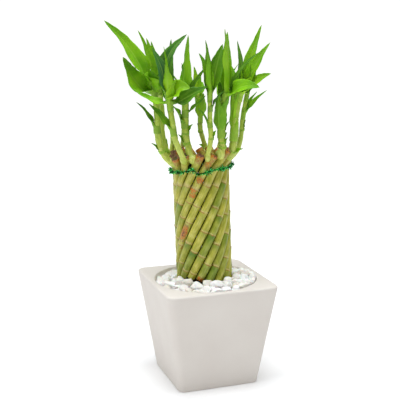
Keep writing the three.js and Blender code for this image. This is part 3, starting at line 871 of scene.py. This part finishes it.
# How far the wire strays from its slope, by the direction seen from the middle: 270 is the front.
TIE_RISES = [
    (0, -0.6), (60, 0.5), (120, -0.4), (180, 0.0), (210, 0.2), (235, 0.9), (256, 2.4), (265, -2.4),
    (276, -1.8), (294, 0.4), (310, 0.0), (340, -0.9), (360, -0.6),
]
STRIPS = 8  # of foil at each point round the wire
STRIP_ROWS = 4
TAIL_POINTS = 6
TAIL_STRIPS = 5


def tie_point(angle, radius):
    x = radius * cos(angle)
    return Vector((bundle_middle(TIE_HEIGHT) + x, radius * sin(angle), WIRE_HEIGHT + TIE_SLOPE * x))


def strand_point(i, strand):
    """A point of one of the two wires, which are twisted round each other."""
    angle = 2 * pi * i / TIE_ROWS
    spin = 2 * pi * WIRE_TURNS * i / TIE_ROWS + pi * strand
    at = tie_point(angle, TIE_RADIUS + WIRE_OFFSET * cos(spin))
    at.z += WIRE_OFFSET * sin(spin) + steps(TIE_RISES, degrees(angle) % 360)
    return at


def add_strip(skin, draw, start, out, length, width):
    """A narrow strip of foil, bent and turned a little about its own length."""
    side = out.cross(draw.box()).normalized()
    bend = side.cross(out) * length * draw(-0.35, 0.35)
    rows = []
    for i in range(STRIP_ROWS):
        t = i / (STRIP_ROWS - 1)
        twist = radians(60) * t
        across = side * cos(twist) + side.cross(out) * sin(twist)
        wide = across * width * (1 - 0.55 * t)
        thick = across.cross(out).normalized() * 0.05
        middle = start + out * length * t + bend * t * t
        rows.append(skin.row([middle - wide, middle + thick, middle + wide, middle - thick]))
    skin.tube(rows)


def add_wire(skin, points, closed=False):
    rows = []
    count = len(points)
    for i, at in enumerate(points):
        before = points[(i - 1) % count] if closed or i else at
        after = points[(i + 1) % count] if closed or i < count - 1 else at
        ring = spokes((after - before).normalized(), WIRE_SIDES)
        rows.append(skin.row([at + out * WIRE_RADIUS for _, out in ring]))
    if closed:
        skin.bands([*rows, rows[0]])
    else:
        skin.tube(rows)


def add_ring_strips(skin, draw):
    """Strips all round the wire, in tufts, that turn away from the canes."""
    for i in range(TIE_ROWS):
        start = strand_point(i, 0).lerp(strand_point(i, 1), 0.5)
        angle = 2 * pi * i / TIE_ROWS
        outward = polar(1, angle)
        tuft = 1.15 + 0.45 * sin(13 * angle)
        for _ in range(STRIPS):
            lean = draw.box() * 1.1
            out = (outward * draw(0.1, 1) + lean).normalized()
            if out.dot(outward) < -0.15:
                out = (out + outward).normalized()
            add_strip(skin, draw, start, out, tuft * draw(1.6, 3.4), draw(0.35, 0.65))


def add_tail(skin, draw, turn):
    """One of the two loose ends, which reach out to the right and the front."""
    start = strand_point(0, 0)
    points = []
    for i in range(TAIL_POINTS):
        out = 0.9 * i
        swirl = turn + 1.1 * i
        aside = Vector((cos(swirl), sin(swirl), sin(swirl + 1))) * 0.35
        points.append(start + Vector((0.7 * out, -0.7 * out, 0.2 * out)) + aside)
    add_wire(skin, points)
    for point in points[1:]:
        for _ in range(TAIL_STRIPS):
            out = draw.box().normalized()
            add_strip(skin, draw, point, out, draw(1.4, 3.2), draw(0.3, 0.55))


def make_tie(material):
    skin = Skin()
    draw = Draw(7)
    for strand in (0, 1):
        add_wire(skin, [strand_point(i, strand) for i in range(TIE_ROWS)], closed=True)
    add_ring_strips(skin, draw)
    for turn in (0, pi):
        add_tail(skin, draw, turn)
    skin.make("Tinsel_tie", [material], "tie")


# -------- shoots

# A leaf's base height, heading (0 right, 90 back), rise, length and width, how far it bows, its roll
# about its own length, its shade (0 deep to 1 bright), and how its tip droops and sways, as shares.
# The shade is partly the leaf's own colour and partly painted light and shade: leaves that lie in
# shadow get low values and top-lit ones high values.
Leaf = namedtuple(
    "Leaf", "height heading rise length width arch roll shade droop sway", defaults=(0.02, 0, 0.5, 0, 0)
)


class Shoot:
    """A stem's half thickness, the points that it passes, and its leaves."""

    def __init__(self, thick, path, *leaves):
        self.thick = thick
        self.path = path
        self.leaves = [Leaf(*leaf) for leaf in leaves]


SHOOTS = [
    Shoot(
        2.65, [(2, -29, 252), (4, -29, 262), (5, -29, 272), (4, -28, 287), (4, -28, 301), (4, -28, 320)],
        (318, 36, 86, 52, 12, 0.02, 0, 0.2, 0, -0.25),
        (316, -68, 85, 40, 10, 0.02, 0, 0.55, 0, 0.1),
        (315, 42, 71, 54, 18, 0.02, -30, 0.18),
        (317, 152, 72, 42, 11, 0.09, 35, 0.22),
        (313, 166, 75, 31, 9.5, 0.03, 35, 0.12),
        (302, -19, 49, 23, 7, 0.03, -30, 0.15),
        (285, -157, 52, 21, 5.5, 0.02, 40, 0.25),
        (270, 0, 56, 10, 5.5, 0.02, -40, 0.4),
    ),
    Shoot(
        3.9, [(15, -22, 252), (17, -21, 260), (16, -20, 269), (16, -20, 280), (17, -21, 298), (21, -22, 316)],
        (312, -32, 81, 70, 14, 0.02, 0, 0.8, 0, 0.3),
        (312, -40, 15, 45, 19, 0.14, -55, 0.5),
        (314, 3, 51, 58, 6, 0.09, -40, 0.16),
        (313, 82, 79, 67, 13, 0.03, 0, 0.45),
        (276, -116, 76, 38, 15.5, -0.02, 0, 0.45),
        (309, 143, 65, 23, 9, 0.03, 35, 0.1),
        (284, -36, 72, 32, 13.5, 0.03),
        (274, 0, 57, 15, 5, 0.02, -40, 0.7),
        (266, 0, 58, 11, 5, 0.02, -40, 0.5),
        (260, -9, 60, 12, 5, 0.02, -40, 0.8),
    ),
    Shoot(
        4.1, [(27, -12, 252), (28.5, -12, 259), (29.5, -11, 269),
         (30.5, -11, 288), (32.5, -11, 301), (36, -11, 318)],
        (315, 32, 80, 55, 12, 0.02, 0, 0.1, 0, -0.35),
        (313, -11, 60, 63, 17, 0.03, -50, 0.55),
        (313, -30, 33, 43, 15.5, 0.08, -60, 0.95),
        (315, 15, 71, 71, 13, 0.02, -55, 0.62, -0.05, 0),
        (316, 38, 68, 53, 11.5, 0.03, -40, 0.15),
        (253, -9, 19, 13, 5.5, 0.02, -40, 0.8),
        (272, -124, 83, 49, 10, 0.02, 0, 0.9),
        (279, -42, 80, 43, 10, 0.02, 0, 0.85),
        (314, 21, 71, 42, 15.5, 0.03, -40, 0.3),
    ),
    Shoot(
        2.5, [(33, 0, 252), (36, 1, 259), (38, 2, 270), (39, 3, 285), (41, 4, 298), (44, 5, 314)],
        (311, 40, 78, 50, 9, 0.03, 0, 0.4),
        (293, -9, 45, 35, 6, 0.04, -50, 0.5),
        (298, 20, 50, 23, 4, 0.03, -40, 0.35),
        (312, 20, 69, 33, 13, 0.05, -30, 0.5),
        (276, 0, 69, 11, 5.5, 0.02, -40, 0.4),
    ),
    Shoot(
        2.8, [(33, 13, 251), (33, 12, 262), (33, 11, 275), (33, 11, 290), (36, 12, 312)],
        (308, 45, 60, 46, 12, 0.05),
        (309, 130, 69, 37, 10, 0.05),
        (300, 45, 45, 38, 10, 0.15),
        (308, -60, 74, 34, 9, 0.05),
    ),
    Shoot(
        2.8, [(27, 25, 251), (30, 24, 262), (31, 23, 275), (31.5, 23, 290), (33, 25, 312)],
        (308, 40, 58, 56, 14, 0.06),
        (309, 150, 74, 44, 10, 0.05),
        (300, 75, 38, 46, 12, 0.15),
        (306, -160, 78, 40, 9, 0.05),
    ),
    Shoot(
        2.6, [(14, 32, 251), (17, 33, 262), (18, 33, 275), (18, 34, 290), (20, 36, 312)],
        (308, 75, 62, 60, 14, 0.06),
        (309, -173, 78, 38, 9, 0.05),
        (298, 95, 30, 44, 12, 0.2),
        (305, 20, 66, 42, 10, 0.05),
    ),
    Shoot(
        2.7, [(0, 35, 250), (-3, 36, 261), (-6, 36, 273), (-6, 36, 285), (-8, 36, 296), (-9, 36, 312)],
        (307, 125, 78, 35, 9.5, 0.03, 10, 0.95),
        (307, 49, 77, 24, 9, 0.04, -10, 0.75),
        (285, -66, 73, 29, 14, 0.04, 0, 0.9),
        (305, 85, 40, 31, 14.5, 0.15),
        (300, -152, 67, 27, 11.5, 0.04, 40, 0.75),
        (270, -166, 65, 10, 5.5, 0.02, 40, 0.9),
        (252, -172, 26, 8, 5, 0.02, 40, 0.9),
    ),
    Shoot(
        2.4, [(-17, 35, 250), (-20, 37, 261), (-21, 38, 275), (-21, 38, 290), (-21, 39, 312)],
        (308, 105, 72, 40, 15.5, 0.06),
        (309, 21, 57, 20, 10, 0.05),
        (300, 125, 35, 46, 12, 0.15),
        (306, -130, 78, 40, 9, 0.05),
    ),
    Shoot(
        2.6, [(-26, 29, 250), (-25, 28, 261), (-24, 27, 275), (-23, 27, 290), (-23, 28, 312)],
        (308, 164, 84, 34, 10, 0.05),
        (309, -62, 80, 34, 10, 0.05),
        (306, -160, 60, 38, 9, 0.06),
    ),
    Shoot(
        2.8, [(-33, 20, 250), (-33, 21, 261), (-35, 21, 275), (-37, 22, 288), (-39, 23, 312)],
        (308, 140, 58, 62, 15, 0.06),
        (309, 100, 78, 46, 10, 0.05),
        (298, 155, 32, 44, 12, 0.18),
    ),
    Shoot(
        2.6, [(-37, 9, 250), (-36, 9, 261), (-36, 8, 275), (-38, 8, 288), (-40, 9, 312)],
        (308, 172, 56, 44, 12, 0.08, 30, 0.5),
        (300, -120, 66, 36, 9, 0.05),
        (309, 17, 73, 70, 18.5, 0.2, -50, 0),
        (309, 75, 81, 63, 10, 0.02, 0, 0.1),
    ),
    Shoot(
        3.0, [(-40, -4, 249), (-45, -3, 264), (-47, -2, 276), (-46.5, -1, 291), (-48, 0, 307), (-50, 1, 325)],
        (320, -175, 70, 64, 11, 0.03, 50, 0.6),
        (320, 164, 75, 54, 11.5, 0.02, 45, 0.65),
        (319, 145, 78, 51, 10, 0.02, 35, 0.6),
        (254, -81, 86, 13, 5, 0.02, -30, 0.6),
    ),
    Shoot(
        3.6, [(-41, -14, 246), (-48, -15, 259), (-51, -15, 274),
         (-51, -15, 289), (-52, -15, 302), (-55, -16, 324)],
        (321, -171, 54, 85, 20, 0.055, 55, 0.46),
        (314, -165, 50, 51, 27, -0.1, 55, 0.42),
        (316, -120, 48, 26, 22, 0.22, 30, 0.62),
        (315, -108, 67, 27, 20, 0.06, 0, 0.45),
        (315, -41, 74, 22, 11, 0.06, 0, 0.2),
        (280, -172, 51, 34, 8.5, 0.04, 30, 0.3),
        (254, -170, 39, 15, 6, 0.02, 30, 0.6),
    ),
    Shoot(
        3.0, [(-23, -27, 246), (-29, -31, 261), (-33.5, -33, 274),
         (-34.5, -34, 287), (-36.5, -34, 298), (-38, -34, 313)],
        (312, 158, 70, 54, 14, 0.05, 40, 0.03),
        (306, -115, 78, 42, 13.5, 0.03, 0, 0.75),
        (310, 143, 83, 54, 6, 0.02, 0, 0.45),
        (309, -25, 30, 27, 23.5, 0.24, -62, 1),
        (310, -40, 65, 22, 12.5, 0.05, 0, 0.9),
        (305, -15, 26, 44, 18.5, 0, -55, 0.08),
        (279, -171, 48, 37, 9.5, 0.03, 50, 0.3),
        (306, -171, 18, 39, 10, -0.04, 40, 0.65, -0.1, 0),
        (312, 60, 79, 43, 9.5, 0.04, 0, 0.06),
    ),
    Shoot(
        3.7, [(-16, -24, 250), (-19, -22, 261), (-21.5, -21, 271),
         (-22, -20, 283), (-22, -20, 296), (-22, -20, 316)],
        (312, -142, 89, 63, 15.5, 0.02, 0, 0.62, 0, -0.12),
        (313, 46, 82, 38, 9, 0.02, 0, 0.4),
        (315, 10, 51, 37, 6.5, 0, -40, 0.1),
        (284, -158, 55, 24, 13, 0.05, 30, 0.2),
        (296, -8, 39, 28, 6, -0.04, -40, 0.15),
        (275, 0, 48, 12, 6, 0.02, -40, 0.3),
        (264, -174, 45, 13, 6, 0.02, 40, 0.35),
    ),
]

SHEATH_LONG = 9.5  # from one sheath's mouth to the next
SHEATH_SHARE = 0.15  # of a leaf's rows that clasp its stem
LEAF_THICK = 0.5

# Half a blade's width along its length, as a share of the widest, and how far its sides are rolled
# up, in radians.
BLADE_WIDTH = [
    (0, 0.42), (0.1, 0.62), (0.36, 1.0), (0.55, 0.93), (0.7, 0.7), (0.85, 0.4), (0.95, 0.19), (1, 0.0),
]
BLADE_CURL = [(0, 2.2), (0.14, 0.9), (0.35, 0.5), (0.7, 0.45), (1, 0.3)]


def stem_curve(k):
    root = cane_axis(k, CANE_TOPS[k][2] - 9)
    return [root, *map(Vector, SHOOTS[k].path)]


def stem_share(curve, height):
    """How far along a stem it reaches a height."""
    low, high = 0.0, 1.0
    for _ in range(20):
        middle = (low + high) / 2
        if spline(curve, middle).z < height:
            low = middle
        else:
            high = middle
    return low


def stem_radius(k, share):
    return SHOOTS[k].thick * (1 - 0.35 * max(0, share - 0.6))


def add_stem(skin, k, draw):
    curve = stem_curve(k)
    points = [spline(curve, i / STEM_ROWS) for i in range(STEM_ROWS + 1)]
    lean = draw(0, 6.3)
    pale = draw(0.5, 1.0)
    run = 0.0
    rows = []
    for i, at in enumerate(points):
        ahead = points[min(i + 1, STEM_ROWS)]
        behind = points[max(i - 1, 0)]
        run += (at - behind).length if i else 0
        radius = stem_radius(k, i / STEM_ROWS)
        flare = 1 + 0.3 * exp(-(((run - 5.5) / 3.5) ** 2))
        places, grain, tone = [], [], []
        for turn, out in spokes((ahead - behind).normalized(), STEM_SIDES):
            climb = run / SHEATH_LONG + 0.14 * cos(turn - lean - 2.5 * int(run / SHEATH_LONG))
            grown = radius * (0.94 + 0.13 * (climb % 1) ** 1.5) * flare
            places.append(at + out * grown)
            grain.append((grown * turn, run, 23.1 * k))
            tone.append((i / STEM_ROWS, climb % 1, pale))
        rows.append(skin.row(places, grain, tone))
    skin.tube(rows)


def leaf_line(k, leaf, outward, flat):
    """Points along a leaf's middle from low in its sheath to its tip, and how far it stands off the
    stem. The blade starts at the third point."""
    curve = stem_curve(k)
    rise = radians(leaf.rise)
    chord = outward * cos(rise) + UP * sin(rise)
    bow = flat.cross(chord)
    share = stem_share(curve, leaf.height)
    base = spline(curve, share)
    radius = stem_radius(k, share) * 1.1
    sheath = min(7.0, 0.2 * leaf.length)
    below = spline(curve, stem_share(curve, leaf.height - sheath)) + outward * radius * 0.97
    points = [below, below.lerp(base + outward * radius, 0.5), base + outward * radius]
    for t in (0.16, 0.35, 0.55, 0.75, 1.0):
        at = base + chord * leaf.length * t + bow * 4 * leaf.arch * leaf.length * t * (1 - t)
        at += flat * leaf.sway * leaf.length * t**2.5
        at -= UP * leaf.droop * leaf.length * t**3
        points.append(at + outward * radius * (1 - t) ** 3)
    return points, radius


def join_sides(skin, top, low):
    """Both sides of a blade, and its edge all the way round."""
    skin.bands([row[::-1] for row in top], 1, False)
    skin.bands(low, 1, False)
    for a, b, c, d in zip(top, top[1:], low, low[1:]):
        skin.band([a[0], c[0]], [b[0], d[0]], 1, False)
        skin.band([c[-1], a[-1]], [d[-1], b[-1]], 1, False)
    skin.band(top[0], low[0], 1, False)
    skin.band(low[-1], top[-1], 1, False)


def add_leaf(skin, k, leaf, draw):
    heading = radians(leaf.heading)
    outward = polar(1, heading)
    flat = Vector((sin(heading), -cos(heading), 0))
    points, radius = leaf_line(k, leaf, outward, flat)
    foot = 2 / (len(points) - 1)
    waves = draw(1.3, 2.3)
    phase = draw(0, 6.3)
    wavy = draw(0.05, 0.11)
    own = draw(0, 60)
    shade = clamp(leaf.shade + draw(-0.08, 0.08))
    half = leaf.width / 2
    columns = [2 * j / LEAF_COLUMNS - 1 for j in range(LEAF_COLUMNS + 1)]
    upper, under = [], []
    for i in range(LEAF_ROWS + 1):
        s = i / LEAF_ROWS
        if s < SHEATH_SHARE:
            s = foot * s / SHEATH_SHARE
        else:
            s = lerp(foot, 1, (s - SHEATH_SHARE) / (1 - SHEATH_SHARE))
        at = spline(points, s)
        along = (spline(points, min(1, s + 0.01)) - spline(points, max(0, s - 0.01))).normalized()
        t = clamp((s - foot) / (1 - foot))
        roll = radians(leaf.roll) * smooth(0, 0.4, t)
        across = flat * cos(roll) + flat.cross(along).normalized() * sin(roll)
        face = across.cross(along).normalized()
        clasp = 1 - smooth(0.0, 0.13, t)
        wide = lerp(steps(BLADE_WIDTH, t) * half, radius * 2.5, clasp)
        curl = lerp(steps(BLADE_CURL, t), 2.5, clasp)
        bend = wide / curl
        fold = 0.16 * wide * (1 - clasp) * (1 - 0.5 * t)
        places = []
        for u in columns:
            wave = wavy * leaf.width * u * abs(u) * sin(2 * pi * waves * t + phase + (u > 0) * 1.9)
            lift = bend * (1 - cos(curl * u)) + fold * (abs(u) - 1) + wave * sin(pi * t)
            places.append(at + across * bend * sin(curl * u) + face * lift)
        grain = [(u * half * max(0.35, 1 - t), t * leaf.length, own) for u in columns]
        tone = [(t, shade, abs(u)) for u in columns]
        upper.append((places, grain, tone))
        backs = [p - face * (LEAF_THICK * (1 - 0.6 * abs(u))) for p, u in zip(places, columns)]
        under.append((backs, grain, tone))
    join_sides(skin, [skin.row(*row) for row in upper], [skin.row(*row) for row in under])


def make_shoot(k, materials):
    skin = Skin()
    draw = Draw(500 + k)
    add_stem(skin, k, draw)
    for leaf in SHOOTS[k].leaves:
        add_leaf(skin, k, leaf, draw)
    skin.make(f"Shoot_{k + 1:02d}", materials, f"shoot_{k + 1:02d}")


# -------- stage


def make_floor():
    mesh = bpy.data.meshes.new("Floor")
    corners = [(-1, -1), (1, -1), (1, 1), (-1, 1)]
    mesh.from_pydata([(FLOOR_HALF * x, FLOOR_HALF * y, 0) for x, y in corners], [], [(0, 1, 2, 3)])
    paper = Finish("Floor_paper", Roughness=0.9, Specular_IOR_Level=0.1)
    paper.drive("Base Color", colour("f2f2f2"))
    place = paper.place()
    far = paper.node("VectorMath")
    far.operation = "LENGTH"
    paper.put(far.inputs[0], place)
    glow = paper.between(far.outputs["Value"], 0.1, 1.6)
    paper.drive("Emission Strength", paper.range(glow, 0.12, 0.8))
    paper.drive("Emission Color", (1, 1, 1, 1))
    mesh.materials.append(paper.material)
    add_object("Floor", mesh)


def add_light(name, place, size, power):
    """A soft square light, aimed at the plant. Its place and size are in metres."""
    data = bpy.data.lights.new(name, "AREA")
    data.size = size
    data.energy = power
    data.color = LIGHT_COLOUR
    light = add_object(name, data)
    light.location = Matrix.Rotation(radians(PLANT_YAW), 3, "Z") @ Vector(place)
    light.rotation_mode = "QUATERNION"
    light.rotation_quaternion = (light.location - LIGHT_AIM).to_track_quat("Z", "Y")


def make_stage():
    make_floor()
    world = bpy.data.worlds.new("Studio")
    bpy.context.scene.world = world
    world.use_nodes = True
    nodes, links = world.node_tree.nodes, world.node_tree.links
    nodes["Background"].inputs["Color"].default_value = (1, 0.99, 0.97, 1)
    strength = nodes.new("ShaderNodeMapRange")
    strength.inputs["To Min"].default_value = AMBIENT
    strength.inputs["To Max"].default_value = BACKDROP
    links.new(nodes.new("ShaderNodeLightPath").outputs["Is Camera Ray"], strength.inputs["Value"])
    links.new(strength.outputs["Result"], nodes["Background"].inputs["Strength"])
    for light in LIGHTS:
        add_light(*light)


def make_camera():
    data = bpy.data.cameras.new("Camera")
    data.sensor_width = 36
    data.lens = CAMERA_LENS
    camera = add_object("Camera", data)
    camera.location = TO_ROW @ CAMERA_PLACE
    camera.rotation_euler = (radians(90 - CAMERA_PITCH), 0, radians(PLANT_YAW))
    bpy.context.scene.camera = camera


# -------- the whole

bpy.context.scene.view_settings.view_transform = "Standard"
make_camera()
make_stage()
make_pot(ceramic())
make_soil(earth())
make_pebbles(marble())
make_tie(foil())
cane_materials = [cane_skin(), cane_cut()]
shoot_materials = [stem_skin(), leaf_skin()]
for number in range(CANES):
    make_cane(number, cane_materials)
    make_shoot(number, shoot_materials)
